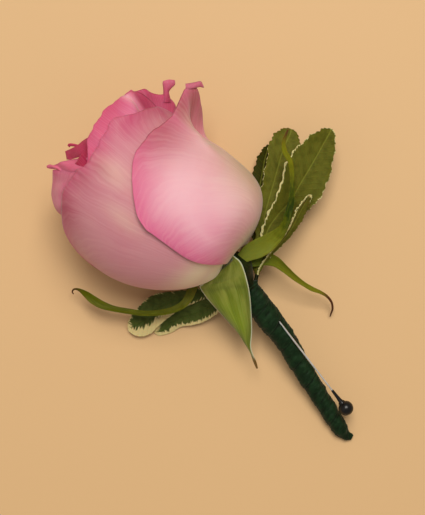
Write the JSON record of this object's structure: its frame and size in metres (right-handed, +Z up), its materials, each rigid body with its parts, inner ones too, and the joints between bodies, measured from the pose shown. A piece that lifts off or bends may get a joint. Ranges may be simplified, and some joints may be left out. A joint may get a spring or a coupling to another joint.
{
  "type": "boutonniere",
  "caption": "Rose bud boutonniere lying on its side: pink petals, green calyx and stem, variegated leaf sprigs, floral tape and a pin with a round head.",
  "frame": {"origin": "on the table that the boutonniere lies on, under the middle of its outline", "axes": "+Z up from the table, +Y from the tail of the tape to the bloom, +X to the right seen from above with the bloom away from the viewer"},
  "size_m": [0.084, 0.1114, 0.0453],
  "materials": {
    "petals": "satin",
    "calyx": "satin",
    "leaves_right": "satin",
    "leaves_left": "satin",
    "tape": "matte",
    "steel": "polished",
    "bead": "gloss"
  },
  "bodies": {
    "root": {"rose_petals": "petals", "rose_calyx_stem": "calyx", "leaf_sprig_right": "leaves_right", "leaf_sprig_left": "leaves_left", "floral_tape": "tape", "pin_shaft": "steel", "pin_head": "bead"}
  },
  "joints": []
}
